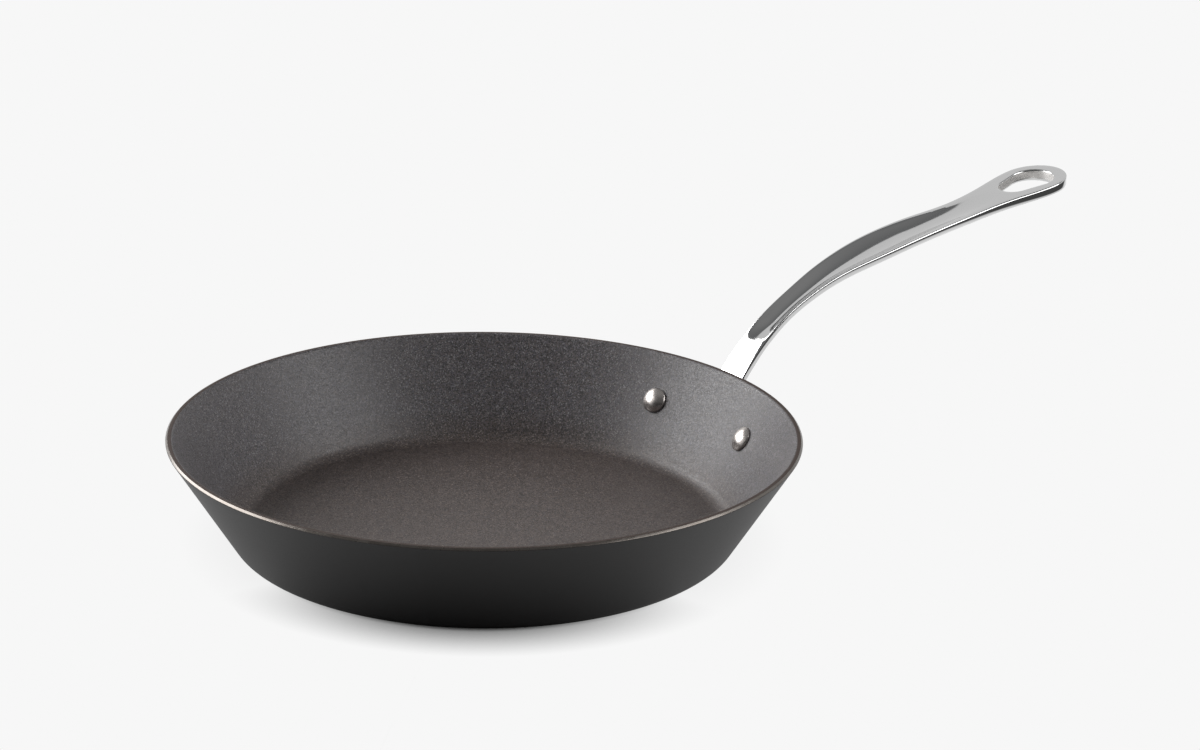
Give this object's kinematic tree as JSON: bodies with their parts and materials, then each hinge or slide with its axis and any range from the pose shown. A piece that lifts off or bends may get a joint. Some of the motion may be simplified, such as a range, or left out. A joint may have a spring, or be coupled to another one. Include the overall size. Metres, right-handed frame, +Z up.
{
  "type": "omelette pan",
  "caption": "Shallow round frying pan with flared sides, and a long curved metal handle that is riveted to the wall and ends in a hanging eye.",
  "frame": {"origin": "middle of the pan's base, on the face that it stands on", "axes": "+Z up, +X from the pan's middle along the handle"},
  "size_m": [0.4529, 0.2598, 0.1088],
  "materials": {
    "coated_aluminium": "dark grey hard anodised and non-stick, satin",
    "polished_steel": "polished",
    "rivet_steel": "satin"
  },
  "bodies": {
    "root": {"pan_body": "coated_aluminium", "handle": "polished_steel", "rivet_left": "rivet_steel", "rivet_right": "rivet_steel"}
  },
  "joints": []
}
